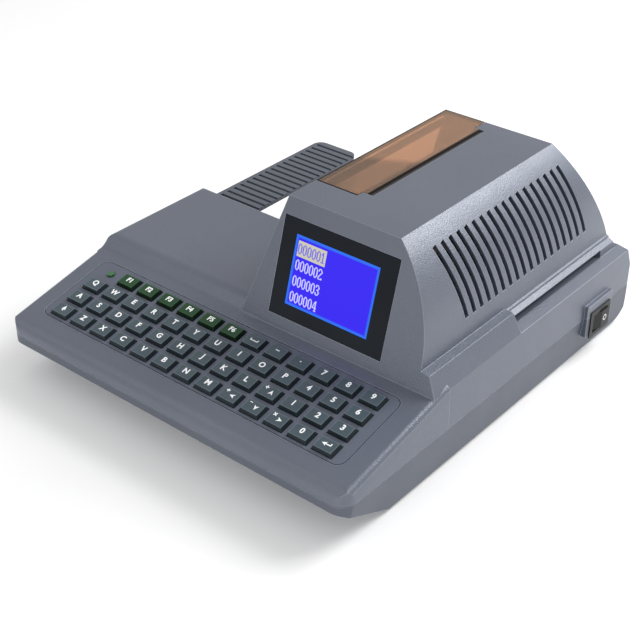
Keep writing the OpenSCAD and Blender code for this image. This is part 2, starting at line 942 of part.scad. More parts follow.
// ---- lid ----
module window_lid() {
    color("#8d6a3c")
        place() {
            difference() {
                intersection() {
                    tower_form(0);
                    union() {
                        block(tower_x - 30, hinge_x, lid_y + ear_d, barrel_y1, skirt_z, body_h + 9);
                        block(tower_x - 30, lid_edge, lid_y, body_d, skirt_z, body_h + 9);
                    }
                }
                tower_form(lid_t);
                for (y = [[lid_y - 1, lid_y + ear_d], [barrel_y1, body_d]])
                    along_y(y[0], y[1])
                        translate([hinge_x, body_h - barrel_r])
                            circle(norm([barrel_r + 0.6, barrel_r]), $fn = 48);
            }
            translate([hinge_x, lid_y + ear_d, body_h - barrel_r])
                rotate([-90, 0, 0])
                    cylinder(barrel_y1 - lid_y - ear_d, r = barrel_r, $fn = 48);
            translate([hinge_x, lid_y + 1, body_h - barrel_r])
                rotate([-90, 0, 0])
                    cylinder(barrel_y1 - lid_y + 1, r = hinge_pin_r, $fn = 32);
        }
}

// ---- paper support ----
module paper_tray() {
    y1 = left_d + tray_len;
    color("#566479")
        place()
            difference() {
                translate([tray_x, left_d - wall - tray_grip, tray_z - tray_t])
                    linear_extrude(tray_t)
                        rounded(tray_w, y1 - left_d + wall + tray_grip, [1, 1, 7, 7]);
                for (k = [0:groove_count - 1])
                    translate([tray_x + 3, left_d + 5 + k * groove_pitch, tray_z - groove_h])
                        cube([tray_w, groove_w, 5]);
                block(tray_x + 5, tray_x + tray_w - 5, left_d + 3, y1 - 7,
                      tray_z - tray_t - 1, tray_z - groove_h - 1.2);
            }
}

// ---- power ----
module switch_body() {
    color("#17181b")
        place() {
            difference() {
                union() {
                    along_x(body_w + boss_out, body_w + boss_out + 0.8)
                        translate([switch_y - bezel_w / 2 - 0.5, switch_z - bezel_h / 2 + 0.3])
                            rounded(bezel_w, bezel_h, [0.8, 0.8, 0.8, 0.8]);
                    block(body_w - 16, body_w + boss_out + 0.5, switch_y - 10, switch_y + 10,
                          switch_z - 7.6, switch_z + 7.6);
                    for (y = [-6, 0, 6])
                        block(body_w - 24, body_w - 15, switch_y + y - 0.4, switch_y + y + 0.4,
                              switch_z - 2.4, switch_z + 2.4);
                }
                block(body_w - 8.5, body_w + 10, switch_y - 9.2, switch_y + 9.2,
                      switch_z - 6.6, switch_z + 6.6);
            }
            for (z = [switch_z - 6.8, switch_z + 5.6])
                translate([rocker_x - 5, switch_y, z])
                    cylinder(1.2, r = 1.3, $fn = 24);
        }
}

module switch_rocker() {
    lean = tan(2 * rocker_tilt);
    color("#0f1012")
        place()
            difference() {
                translate([0, 0, switch_z - 6.2])
                    linear_extrude(12.4)
                        polygon([[rocker_x - 8.6 * lean, switch_y - 8.6], [rocker_x, switch_y],
                                 [rocker_x, switch_y + 8], [rocker_x - 4.4, switch_y + 7.2],
                                 [rocker_x - 6.2, switch_y + 3], [rocker_x - 7.6, switch_y],
                                 [rocker_x - 7.6, switch_y - 2.4], [rocker_x - 6, switch_y - 6.6]]);
                for (z = [switch_z - 7, switch_z + 5.4])
                    translate([rocker_x - 5, switch_y, z])
                        cylinder(1.6, r = 1.3 + fit, $fn = 24);
            }
}

module power_inlet() {
    color("#141517")
        place()
            on_rear() {
                difference() {
                    union() {
                        translate([inlet_x - 15, 0, 3.9])
                            rotate([90, 0, 0])
                                translate([0, 0, -1.2])
                                    linear_extrude(1.2)
                                        rounded(30, 21.2, [2, 2, 2, 2]);
                        block(inlet_x - 13.5, inlet_x + 13.5, -13, 0.2, 5.2, 23.8);
                    }
                    block(inlet_x - 11.6, inlet_x + 11.6, -11.5, 5, 6.8, 22.2);
                }
                for (x = [-7, 0, 7])
                    block(inlet_x + x - 1, inlet_x + x + 1, -17, -1, 13 + (x == 0 ? 2 : -1), 17 + (x == 0 ? 2 : -1));
            }
}

module power_supply() {
    color("#8a7b4a")
        place() {
            block(18, supply_x, 92, 158, floor_z + 4, floor_z + 5.6);
            block(24, 68, 108, 152, floor_z + 5.6, floor_z + 41);
            block(20, 72, 116, 144, floor_z + 5.6, floor_z + 33);
            for (k = [0:2])
                translate([supply_x - 24, 104 + k * 19, floor_z + 5.6])
                    cylinder(24, r = 7, $fn = 32);
            block(supply_x - 11, supply_x - 6, 100, 150, floor_z + 5.6, floor_z + 31);
        }
}

module main_board() {
    color("#2f6b45")
        place()
            translate([board_x, 66, floor_z + 6]) {
                cube([board_w, 90, 1.6]);
                block(14, 48, 18, 52, 1.6, 4.6);
                block(62, 80, 18, 30, 1.6, 5.6);
                block(62, 80, 38, 50, 1.6, 5.6);
                for (k = [0:3])
                    block(8 + k * 26, 28 + k * 26, 76, 83, 1.6, 10);
                for (k = [0:2])
                    translate([100, 16 + k * 14, 1.6])
                        cylinder(13, r = 5, $fn = 32);
            }
}

// ---- printer frame ----
module plate_bores(y0, y1) {
    for (x = [-roller_span, roller_span]) {
        translate([head_x + x, y0, roller_z])
            rotate([-90, 0, 0])
                cylinder(y1 - y0, r = shaft_r + fit, $fn = 48);
        translate([head_x + x, y0, pinch_z])
            rotate([-90, 0, 0])
                cylinder(y1 - y0, r = 2 + fit, $fn = 32);
    }
    for (x = [-rod_span, rod_span])
        translate([head_x + x, y0, rod_z])
            rotate([-90, 0, 0])
                cylinder(y1 - y0, r = rod_r, $fn = 32);
}

module front_plate() {
    y = plate_y0;
    x0 = belt_x + belt_w / 2 + 3.5;
    color("#a9adb2")
        place()
            difference() {
                union() {
                    block(head_x - 62, head_x + 56, y, y + plate_t, floor_z, plate_z);
                    block(head_x - 62, head_x + 56, y - 10, y + 1, floor_z, floor_z + plate_t);
                    along_x(x0, x0 + 2)
                        polygon([[y + 1, 70.5], [y + 1, plate_z], [belt_y0 + 10, belt_z + 14],
                                 [belt_y0 - 14, belt_z + 14], [belt_y0 - 14, belt_z - 9],
                                 [y - 2.4, belt_z - 9], [y, 70.5]]);
                    for (x = [head_x - 48, head_x + 36])
                        block(x - 5, x + 5, y, y + 10, plate_z - plate_t, plate_z);
                }
                plate_bores(y - 1, y + 5);
                translate([head_x, y - 1, pinion_z])
                    rotate([-90, 0, 0])
                        cylinder(5, r = 4, $fn = 32);
                translate([belt_x, belt_y0, belt_z])
                    rotate([0, 90, 0])
                        cylinder(20, r = 4, $fn = 32);
            }
}

module rear_plate() {
    y = plate_y1;
    x0 = belt_x + belt_w / 2 + 3.5;
    color("#a9adb2")
        place()
            difference() {
                union() {
                    block(head_x - 62, head_x + 56, y, y + plate_t, floor_z, plate_z);
                    block(head_x - 62, head_x + 56, y - 8, y + 1, floor_z, floor_z + plate_t);
                    along_x(x0, x0 + 2)
                        polygon([[y + 1, 70.5], [y + 1, plate_z], [belt_y1 + 5, belt_z + 4],
                                 [belt_y1 - 7, belt_z + 4], [belt_y1 - 7, belt_z - 12]]);
                    for (x = [head_x - 48, head_x + 40])
                        block(x - 4, x + 4, y - 12, y + 1, plate_z - plate_t, plate_z);
                }
                plate_bores(y - 1, y + 5);
                translate([belt_x, belt_y1, belt_z])
                    rotate([0, 90, 0])
                        cylinder(20, r = 2, $fn = 32);
            }
}

module guide_rods() {
    color("#c9ccd0")
        place()
            for (x = [-rod_span, rod_span])
                translate([head_x + x, plate_y0, rod_z])
                    rotate([-90, 0, 0])
                        cylinder(plate_y1 + plate_t - plate_y0, r = rod_r, $fn = 32);
}

module paper_bed() {
    z = paper_z - 0.3;
    color("#8f959c")
        place()
            difference() {
                union() {
                    block(head_x - 66, lip_x - 3.5, slot_y0 + 0.3, slot_y1 - 0.3, z - 1.2, z);
                    block(head_x - 64, head_x + 54, plate_y0 + plate_t, slot_y0 + 1, z - 7, z);
                    block(head_x - 64, head_x + 54, slot_y1 - 1, plate_y1, z - 7, z);
                }
                for (x = [-roller_span, roller_span])
                    block(head_x + x - 8.4, head_x + x + 8.4, slot_y0 + 2, slot_y1 - 2, 40, 70);
                block(head_x - 6.6, head_x + 6.6, slot_y0 + 2, slot_y1 - 2, 40, 70);
                for (x = [-roller_span, roller_span])
                    translate([head_x + x, 100, roller_z])
                        rotate([-90, 0, 0])
                            cylinder(200, r = shaft_r + 0.6, $fn = 32);
            }
}

module platen() {
    z = paper_z - 0.3;
    color("#2a2b2e")
        place()
            difference() {
                union() {
                    block(head_x - 6, head_x + 6, slot_y0 + 3, slot_y1 - 3, z - 4, z);
                    block(head_x - 6, head_x + 6, plate_y0 + plate_t, plate_y1, z - 9.5, z - 7.4);
                    for (y = [slot_y0 + 3, slot_y1 - 9])
                        block(head_x - 6, head_x + 6, y, y + 6, z - 9, z - 3);
                }
                for (y = [plate_y0 + plate_t + 3, plate_y1 - 3])
                    translate([head_x, y, z - 12])
                        cylinder(8, r = 1.2, $fn = 24);
            }
}

// ---- print head ----
module head_carriage() {
    h = carriage_d / 2;
    color("#2d3036")
        place()
            difference() {
                union() {
                    block(head_x - rod_span - 6, head_x + rod_span + 6, head_y - h, head_y + h,
                          rod_z - 4.8, rod_z + 6);
                    block(head_x + rod_span, belt_x + belt_w / 2 + 1.4, head_y - 6, head_y + 6,
                          rod_z + 4, belt_z - pulley_r + 1.2);
                }
                for (x = [-rod_span, rod_span])
                    translate([head_x + x, head_y - h - 1, rod_z])
                        rotate([-90, 0, 0])
                            cylinder(2 * h + 2, r = rod_r + fit, $fn = 48);
                block(head_x - 8, head_x + 8, head_y - 8, head_y + 8, 60, 90);
                block(belt_x - belt_w / 2 - 0.4, belt_x + belt_w / 2 + 0.4, head_y - 20, head_y + 20,
                      belt_z - pulley_r - belt_t - 0.7, belt_z - pulley_r + 0.1);
            }
}

module print_head() {
    color("#6f757c")
        place() {
            block(head_x - 8, head_x + 8, head_y - 8, head_y + 8, rod_z - 3, rod_z + 7);
            translate([head_x, head_y, rod_z + 7])
                cylinder(10, r = 11, $fn = 48);
            block(head_x - 3, head_x + 3, head_y - 6, head_y + 6, paper_z + 0.9, rod_z - 3);
            for (k = [0:5])
                translate([head_x, head_y, rod_z + 17])
                    rotate([0, 0, k * 60])
                        translate([-1, 2, 0])
                            cube([2, 8, 1.5]);
        }
}

module carriage_belt() {
    r = pulley_r + 0.2;
    color("#18191b")
        place()
            along_x(belt_x - belt_w / 2, belt_x + belt_w / 2)
                difference() {
                    union() {
                        translate([belt_y0, belt_z])
                            circle(r + belt_t, $fn = 48);
                        translate([belt_y1, belt_z])
                            circle(r + belt_t, $fn = 48);
                        translate([belt_y0, belt_z - r - belt_t])
                            square([belt_y1 - belt_y0, 2 * (r + belt_t)]);
                    }
                    translate([belt_y0, belt_z])
                        circle(r, $fn = 48);
                    translate([belt_y1, belt_z])
                        circle(r, $fn = 48);
                    translate([belt_y0, belt_z - r])
                        square([belt_y1 - belt_y0, 2 * r]);
                }
}

module pulley(y, bore) {
    translate([belt_x - belt_w / 2 - 1.4, y, belt_z])
        rotate([0, 90, 0])
            difference() {
                union() {
                    cylinder(belt_w + 2.8, r = pulley_r, $fn = 48);
                    cylinder(1, r = pulley_r + 2, $fn = 48);
                    translate([0, 0, belt_w + 1.8])
                        cylinder(1, r = pulley_r + 2, $fn = 48);
                    if (bore == 0)
                        cylinder(belt_w + 9, r = 1.5, $fn = 24);
                }
                if (bore > 0)
                    translate([0, 0, -1])
                        cylinder(belt_w + 6, r = bore, $fn = 32);
                for (a = [0:60:300])
                    rotate([0, 0, a])
                        translate([3.4, 0, -1])
                            cylinder(3, r = 0.7, $fn = 12);
            }
}

module motor_pulley() {
    color("#c8a95a")
        place()
            pulley(belt_y0, 0);
}

module idler_pulley() {
    color("#d8d9da")
        place()
            pulley(belt_y1, 2 + fit);
}

module carriage_motor() {
    x = belt_x + belt_w / 2 + 5.5;
    color("#3a3d42")
        place()
            difference() {
                union() {
                    translate([x, belt_y0, belt_z])
                        rotate([0, 90, 0])
                            cylinder(17, r = 12, $fn = 64);
                    translate([x, belt_y0, belt_z])
                        rotate([0, 90, 0])
                            cylinder(18, r = 4, $fn = 32);
                }
                translate([x - 1, belt_y0, belt_z])
                    rotate([0, 90, 0])
                        cylinder(6, r = 1.5 + fit, $fn = 24);
            }
}

// ---- ribbon ----
module ribbon_deck() {
    z = deck_z - 1.5;
    y = plate_y1 - 9;
    color("#9a9fa6")
        place()
            difference() {
                union() {
                    block(head_x - 54, head_x + 46, ribbon_y0 - 12, ribbon_y1 + 8, z, deck_z);
                    for (x = [head_x - 48, head_x + 36])
                        translate([x, plate_y0 + 7, plate_z])
                            cylinder(z + 0.5 - plate_z, r = 2.5, $fn = 24);
                    for (x = [head_x - 48, head_x + 40]) {
                        translate([x, y, plate_z])
                            cylinder(deck_z - plate_z, r = 2.2, $fn = 24);
                        block(x - 3, x + 3, y - 7, y, z, deck_z);
                    }
                }
                block(head_x - 14, head_x + 34, ribbon_y0 + 4, ribbon_y1 + 1, z - 5, z + 10);
                block(head_x + 16, head_x + 42, ribbon_y0 - 13, ribbon_y0 + 4.5, z - 5, z + 10);
            }
}

module ribbon_cartridge() {
    x = head_x - 34;
    run = ribbon_y1 - ribbon_y0;
    color("#1b1c1f")
        place()
            difference() {
                union() {
                    translate([x - 17, ribbon_y0, deck_z])
                        linear_extrude(11)
                            rounded(34, run, [5, 5, 5, 5]);
                    translate([x - 13, ribbon_y0 + 4, deck_z + 11])
                        linear_extrude(1.2)
                            rounded(26, run - 8, [4, 4, 4, 4]);
                    translate([x, ribbon_y0 + 18, deck_z + 12.2])
                        cylinder(3, r = 6, $fn = 48);
                    translate([x - 1.2, ribbon_y0 + 13, deck_z + 15.2])
                        cube([2.4, 10, 1.6]);
                }
                for (y = [ribbon_y0 + 34, ribbon_y1 - 14])
                    translate([x, y, deck_z + 11.4])
                        cylinder(3, r = 5, $fn = 32);
                block(x + 13, x + 24, ribbon_y0 + 16, ribbon_y1 - 16, deck_z + 2, deck_z + 9);
            }
}

// ---- paper feed ----
module gear_shape(n, off) {
    rp = n * gear_m / 2;
    step = 360 / n;
    polygon([for (k = [0:n - 1], p = [[-0.31, -1.15], [-0.17, 0.75], [0.17, 0.75], [0.31, -1.15]])
             let (a = off + (k + p[0]) * step, r = rp + p[1] * gear_m) [r * cos(a), r * sin(a)]]);
}

module gear(x, z, n, off, bore) {
    translate([x, gear_y + gear_t, z])
        rotate([90, 0, 0])
            linear_extrude(gear_t)
                difference() {
                    gear_shape(n, off);
                    if (bore > 0)
                        circle(bore, $fn = 32);
                }
}

module feed_roller(x, off) {
    translate([head_x + x, gear_y - 3, roller_z])
        rotate([-90, 0, 0])
            cylinder(plate_y1 + plate_t + 3 - gear_y + 3, r = shaft_r, $fn = 48);
    for (k = [0:2])
        translate([head_x + x, slot_y0 + 4 + k * band, roller_z])
            rotate([-90, 0, 0])
                cylinder(0.61 * band, r = roller_r, $fn = 64);
    gear(head_x + x, roller_z, 40, off, 0);
}

module entry_roller() {
    color("#303338")
        place()
            feed_roller(-roller_span, 0);
}

module exit_roller() {
    color("#303338")
        place()
            feed_roller(roller_span, 0);
}

module pinch_roller(x) {
    translate([head_x + x, plate_y0 - 2, pinch_z])
        rotate([-90, 0, 0])
            cylinder(plate_y1 + plate_t - plate_y0 + 2, r = 2, $fn = 32);
    for (k = [0:2])
        translate([head_x + x, slot_y0 + 6 + k * band, pinch_z])
            rotate([-90, 0, 0])
                cylinder(0.5 * band, r = pinch_r, $fn = 48);
}

module entry_pinch_roller() {
    color("#5b4a3a")
        place()
            pinch_roller(-roller_span);
}

module exit_pinch_roller() {
    color("#5b4a3a")
        place()
            pinch_roller(roller_span);
}

module idler_gear() {
    color("#d9d6cc")
        place()
            difference() {
                union() {
                    gear(head_x, roller_z, 24, 7.5, 0);
                    translate([head_x, gear_y, roller_z])
                        rotate([-90, 0, 0])
                            cylinder(gear_t + 2, r = 4, $fn = 32);
                }
                translate([head_x, gear_y - 1, roller_z])
                    rotate([-90, 0, 0])
                        cylinder(gear_t + 6, r = 2 + fit, $fn = 32);
            }
}

module feed_pinion() {
    color("#c8a95a")
        place() {
            gear(head_x, pinion_z, 12, 90, 0);
            translate([head_x, gear_y, pinion_z])
                rotate([-90, 0, 0])
                    cylinder(plate_y0 + plate_t + 4 - gear_y, r = 1.5, $fn = 24);
        }
}

module feed_motor() {
    y = plate_y0 + plate_t;
    color("#3a3d42")
        place()
            difference() {
                union() {
                    translate([head_x, y, pinion_z])
                        rotate([-90, 0, 0])
                            cylinder(24, r = 13, $fn = 64);
                    along_y(y, y + 1.2)
                        translate([head_x, pinion_z])
                            difference() {
                                translate([-21, -6])
                                    rounded(42, 12, [5, 5, 5, 5]);
                                for (x = [-16.5, 16.5])
                                    translate([x, 0])
                                        circle(1.6, $fn = 24);
                            }
                }
                translate([head_x, y - 1, pinion_z])
                    rotate([-90, 0, 0])
                        cylinder(8, r = 1.5 + fit, $fn = 24);
            }
}

// ---- keys ----
module keys_top_row() {
    for (c = [7:9])
        key(0, c, plain);
}

module keys_letters() {
    for (c = [0:9])
        key(1, c, plain);
    for (c = [0:8])
        key(2, c, plain);
    for (c = [0:7])
        key(3, c, plain);
}

upper_housing();
lower_housing();
rubber_feet();
housing_screws();
keyboard_panel();
key_mat();
keypad_board();
status_lamp();
display_window();
display_module();
window_lid();
paper_tray();
switch_body();
switch_rocker();
power_inlet();
main_board();
power_supply();
front_plate();
rear_plate();
guide_rods();
paper_bed();
platen();
head_carriage();
print_head();
carriage_belt();
carriage_motor();
motor_pulley();
idler_pulley();
ribbon_deck();
ribbon_cartridge();
entry_roller();
exit_roller();
entry_pinch_roller();
exit_pinch_roller();
feed_motor();
feed_pinion();
idler_gear();
key(0, 1, green);  // key_f1
key(0, 2, green);  // key_f2
key(0, 3, green);  // key_f3
key(0, 4, green);  // key_f4
key(0, 5, green);  // key_f5
key(0, 6, green);  // key_f6
key(3, 11, plain);  // key_0
key(2, 10, plain);  // key_1
key(2, 11, plain);  // key_2
key(2, 12, plain);  // key_3
key(1, 10, plain);  // key_4
key(1, 11, plain);  // key_5
key(1, 12, plain);  // key_6
key(0, 10, plain);  // key_7
key(0, 11, plain);  // key_8
key(0, 12, plain);  // key_9
key(2, 9, plain);  // key_plus
key(3, 9, plain);  // key_minus
key(3, 10, plain);  // key_times
key(3, 8, plain);  // key_divide
key(3, 12, plain);  // key_enter
keys_top_row();
keys_letters();
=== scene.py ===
import bpy
import bmesh
import math
from mathutils import Matrix, Vector


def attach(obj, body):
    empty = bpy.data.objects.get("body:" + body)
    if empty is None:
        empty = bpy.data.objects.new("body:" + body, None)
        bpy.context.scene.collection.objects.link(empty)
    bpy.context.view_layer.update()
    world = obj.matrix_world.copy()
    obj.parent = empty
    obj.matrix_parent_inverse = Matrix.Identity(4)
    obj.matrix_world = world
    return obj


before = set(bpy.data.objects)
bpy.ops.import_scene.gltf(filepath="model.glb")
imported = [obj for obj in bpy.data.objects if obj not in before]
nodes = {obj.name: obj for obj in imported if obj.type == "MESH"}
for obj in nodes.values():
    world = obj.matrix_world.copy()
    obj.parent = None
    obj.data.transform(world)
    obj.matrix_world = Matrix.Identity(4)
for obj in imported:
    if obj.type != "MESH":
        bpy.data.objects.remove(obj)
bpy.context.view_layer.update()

# ---------------------------------------------------------------- sizes, in millimetres
# the same named values as the part's source, measured from the left front corner of the housing
TOTAL_W, BODY_D = 279.3, 311.0
OX, OY = -TOTAL_W / 2, -BODY_D / 2
DECK_Z, DECK_A = 40.0, math.radians(12.3)
TOWER_Y, LEAN = 81.3, math.radians(16.3)
FACE_Z = DECK_Z + TOWER_Y * math.tan(DECK_A)
KEY_W, KEY_D, KEY_H = 14.2, 10.3, 2.4
KEY_X1, KEY_S0 = 251.0, 18.4
PITCH_X, PITCH_S = 18.0, 13.9
WIN_X, WIN_S = 148.0, 8.0
VIEW_X, VIEW_S, VIEW_W, VIEW_H = 10.6, 8.7, 62.0, 44.0
SWITCH_Y, SWITCH_Z = 264.0, 23.6

DECK_UP = (0, -math.sin(DECK_A), math.cos(DECK_A))


def mm(x, y, z):
    """A point given in the housing's millimetres, in the frame's metres."""
    return Vector(((x + OX) / 1000, (y + OY) / 1000, z / 1000))


def deck_matrix(x, s, n=0.0):
    """Frame on the keyboard deck: X right, Y up the slope, Z out of the deck."""
    c, k = math.cos(DECK_A), math.sin(DECK_A)
    p = mm(x, s * c - n * k, DECK_Z + s * k + n * c)
    return Matrix.Translation(p) @ Matrix.Rotation(DECK_A, 4, "X")


def face_matrix(x, s, n=0.0):
    """Frame on the tower's front face: X right, Y up the face, Z out of it."""
    c, k = math.cos(LEAN), math.sin(LEAN)
    p = mm(x, TOWER_Y + s * k - n * c, FACE_Z + s * c + n * k)
    return Matrix.Translation(p) @ Matrix.Rotation(math.pi / 2 - LEAN, 4, "X")


# ---------------------------------------------------------------- shader nodes
def put(tree, socket, value):
    """Links another node's output to an input, or sets the input's value."""
    if isinstance(value, bpy.types.NodeSocket):
        tree.links.new(value, socket)
    else:
        socket.default_value = value


def fill(tree, made, **values):
    """Fills inputs by name; an underscore stands for a space."""
    for name, value in values.items():
        put(tree, made.inputs[name.replace("_", " ")], value)
    return made


def node(tree, kind, **values):
    return fill(tree, tree.nodes.new("ShaderNode" + kind), **values)


def noise(tree, at, scale, detail=2.0, roughness=0.5):
    return node(tree, "TexNoise", Vector=at, Scale=scale, Detail=detail, Roughness=roughness).outputs["Fac"]


def bump(tree, height, strength, distance, normal=None):
    made = node(tree, "Bump", Height=height, Strength=strength, Distance=distance)
    if normal is not None:
        put(tree, made.inputs["Normal"], normal)
    return made.outputs["Normal"]


def map_range(tree, value, low, high, to_low=0.0, to_high=1.0):
    made = node(tree, "MapRange", Value=value, From_Min=low, From_Max=high, To_Min=to_low, To_Max=to_high)
    return made.outputs["Result"]


def calc(tree, operation, *values):
    made = node(tree, "Math")
    made.operation = operation
    for socket, value in zip(made.inputs, values):
        put(tree, socket, value)
    return made.outputs[0]


def dot_product(tree, a, b):
    made = node(tree, "VectorMath")
    made.operation = "DOT_PRODUCT"
    put(tree, made.inputs[0], a)
    put(tree, made.inputs[1], b)
    return made.outputs["Value"]


def ramp(tree, fac, *stops):
    """A colour from stops given as (position, colour), in rising order."""
    made = node(tree, "ValToRGB", Fac=fac)
    elements = made.color_ramp.elements
    for i, (position, colour) in enumerate(stops):
        stop = elements[i] if i < 2 else elements.new(position)
        stop.position = position
        stop.color = (*colour, 1)
    return made.outputs["Color"]


def layer(tree, mask, under, colour):
    """One colour, and another one over it where the mask is 1."""
    mix = node(tree, "Mix")
    mix.data_type = "RGBA"
    fill(tree, mix, Factor=mask, A=under, B=colour)
    return mix.outputs["Result"]


def edge_normal(tree, radius, samples=4):
    """Rounded look on sharp moulded edges. The radius is in millimetres."""
    made = node(tree, "Bevel", Radius=radius / 1000)
    made.samples = samples
    return made.outputs["Normal"]


def true_normal(tree):
    return node(tree, "NewGeometry").outputs["True Normal"]


def edge_mask(tree, radius):
    """1 on a sharp edge, falling to 0 at about the radius away from it."""
    near = dot_product(tree, true_normal(tree), edge_normal(tree, radius, 8))
    return map_range(tree, near, 0.985, 0.90)


def grain(tree, at, scale, strength, distance=0.0002, fine=None, edge=0.0):
    """Moulded grain as a normal; fine is the scale, strength and distance of a second one."""
    normal = edge_normal(tree, edge) if edge else None
    normal = bump(tree, noise(tree, at, scale, roughness=0.6), strength, distance, normal)
    if fine:
        normal = bump(tree, noise(tree, at, fine[0], 1.0), fine[1], fine[2], normal)
    return normal


def tint(tree, at, low, high, scale=9.0, fac=None, start=0.35, end=0.65):
    """Slow colour change over the surface between two close colours."""
    if fac is None:
        fac = noise(tree, at, scale, 4.0)
    return ramp(tree, fac, (start, low), (end, high))


def rough(tree, at, low, high, scale=30.0):
    """Roughness that wanders between two values."""
    return map_range(tree, noise(tree, at, scale, 5.0), 0.3, 0.7, low, high)


# ---------------------------------------------------------------- materials
# painted highlight: a paler colour laid along sharp edges, where they catch the light
EDGE_HIGHLIGHT_COLOUR, EDGE_HIGHLIGHT_RADIUS = (0.24, 0.27, 0.33, 1), 0.9


def new_material(name):
    """The material, its tree, its shader and the surface's own coordinates."""
    m = bpy.data.materials.new(name)
    m.use_nodes = True
    tree = m.node_tree
    return m, tree, tree.nodes["Principled BSDF"], node(tree, "TexCoord").outputs["Object"]


def plastic(name, low, high, r0, r1, grain_scale, grain_strength, coat=0.0, metallic=0.0, fine=None,
            edge=0.0, spec=0.5, edge_highlight=False):
    """Moulded plastic or rubber; the flag for edge lines paints pale lines on its edges, a painted
    highlight.
    """
    m, t, b, at = new_material(name)
    colour = tint(t, at, low, high)
    # painted highlight: pale lines along the sharp edges
    if edge_highlight:
        colour = layer(t, edge_mask(t, EDGE_HIGHLIGHT_RADIUS), colour, EDGE_HIGHLIGHT_COLOUR)
    fill(t, b, Base_Color=colour, Roughness=rough(t, at, r0, r1),
         Normal=grain(t, at, grain_scale, grain_strength, fine=fine, edge=edge),
         Coat_Weight=coat, Coat_Roughness=0.25, Metallic=metallic, Specular_IOR_Level=spec)
    return m


def metal(name, low, high, r0, r1, stretch=(1, 1, 60)):
    """Drawn or brushed metal: noise stretched along the marks."""
    m, t, b, at = new_material(name)
    drawn = node(t, "Mapping", Vector=at, Scale=stretch).outputs["Vector"]
    fill(t, b, Base_Color=tint(t, at, low, high, 14), Roughness=rough(t, at, r0, r1, 25),
         Normal=bump(t, noise(t, drawn, 40, 6.0), 0.08, 0.0002), Metallic=1.0)
    return m


def key_material(name, top_low, top_high, shaded_side, rim_highlight):
    """Moulded key: satin top, a darker skirt that is painted shade, and a pale rim on the top's edges that
    is a painted highlight.
    """
    m, t, b, at = new_material(name)
    top = map_range(t, dot_product(t, true_normal(t), DECK_UP), 0.45, 0.8)
    # painted shade: the sides that don't face out of the deck are darker than the top
    colour = layer(t, top, (*shaded_side, 1), tint(t, at, top_low, top_high, fac=noise(t, at, 60, 3.0)))
    # painted highlight: a pale line along the top's edges, where the chamfer catches the light
    colour = layer(t, calc(t, "MULTIPLY", edge_mask(t, 1.5), top), colour, (*rim_highlight, 1))
    fill(t, b, Base_Color=colour, Roughness=rough(t, at, 0.30, 0.40, 60),
         Normal=grain(t, at, 2400, 0.10, edge=0.45), Specular_IOR_Level=0.35)
    return m


def board_material():
    """Green laminate with a fine pattern of cells."""
    m, t, b, at = new_material("board_laminate")
    cells = node(t, "TexVoronoi", Vector=at, Scale=160).outputs["Distance"]
    fill(t, b, Base_Color=tint(t, at, (0.012, 0.11, 0.04), (0.03, 0.19, 0.08), fac=cells),
         Roughness=rough(t, at, 0.3, 0.45), Normal=grain(t, at, 500, 0.2))
    return m


# front, rear and right bounds of the lid's clear part, and its crease, in its own coordinates, in metres; a
# dark band of painted shade runs along them, and the leaning rear end lies past the rear bound and is
# painted dark all over as shade
LID_Y0, LID_Y1, LID_X1, LID_CREASE = -0.0265, 0.1075, 0.0437, 0.0084
LID_SHADE_OUT, LID_SHADE_IN = 0.0009, 0.0012


def lid_material():
    """See-through smoked acrylic; darker towards the front, which is painted shade, and with a dark band
    along its edges and crease, which is painted shade of the gaps round it.
    """
    m, t, b, at = new_material("lid_acrylic")
    # painted shade: the smoke colour is darker towards the front along a slant, where the space under the
    # lid lies in shade
    slant = dot_product(t, at, (-9.0, 16.0, 0))
    painted_front_shade = calc(t, "MULTIPLY_ADD", noise(t, at, 14), 0.5, slant)
    body = tint(t, at, (0.46, 0.33, 0.25), (0.72, 0.48, 0.34), fac=painted_front_shade, start=0.30, end=0.42)
    axes = node(t, "SeparateXYZ", Vector=at)
    x, y = axes.outputs["X"], axes.outputs["Y"]
    ends = calc(t, "MINIMUM", calc(t, "SUBTRACT", y, LID_Y0), calc(t, "SUBTRACT", LID_Y1, y))
    crease = calc(t, "ABSOLUTE", calc(t, "SUBTRACT", x, LID_CREASE))
    inside = calc(t, "MINIMUM", calc(t, "MINIMUM", ends, crease), calc(t, "SUBTRACT", LID_X1, x))
    # painted shade: a dark band along the edges, the crease and the rear end, where the gaps round the lid
    # fall in shade
    gap_shade = map_range(t, inside, LID_SHADE_IN, LID_SHADE_OUT)
    fill(t, b, Base_Color=layer(t, gap_shade, body, (0.012, 0.009, 0.008, 1)),
         Transmission_Weight=map_range(t, gap_shade, 0.0, 1.0, 0.75, 0.0),
         Roughness=rough(t, at, 0.05, 0.11), Normal=grain(t, at, 300, 0.03, edge=0.3), IOR=1.12)
    return m


def window_material():
    """Near-black display window."""
    m, t, b, at = new_material("window_gloss")
    fill(t, b, Base_Color=tint(t, at, (0.008, 0.010, 0.014), (0.012, 0.015, 0.020), 12),
         Roughness=rough(t, at, 0.22, 0.30), Normal=grain(t, at, 200, 0.02), Specular_IOR_Level=0.12)
    return m


def lamp_material():
    """Green lamp, coloured by how its surface faces: lighter green on the crown that faces out of the deck,
    a painted highlight, and near-black towards its foot, which stands for the dark ring round the lamp and
    is partly painted shade.
    """
    m, t, b, at = new_material("lamp_green")
    # painted light and shade: the colour follows how the surface faces, lighter where it faces out of the
    # deck
    facing_light = dot_product(t, node(t, "NewGeometry").outputs["Normal"], DECK_UP)
    colour = tint(t, at, (0.002, 0.012, 0.004), (0.010, 0.090, 0.020), fac=facing_light, start=0.86, end=0.99)
    fill(t, b, Base_Color=colour, Roughness=rough(t, at, 0.06, 0.12), Normal=grain(t, at, 400, 0.05),
         Coat_Weight=0.8, Emission_Color=(0.02, 0.6, 0.08, 1), Emission_Strength=0.05)
    return m


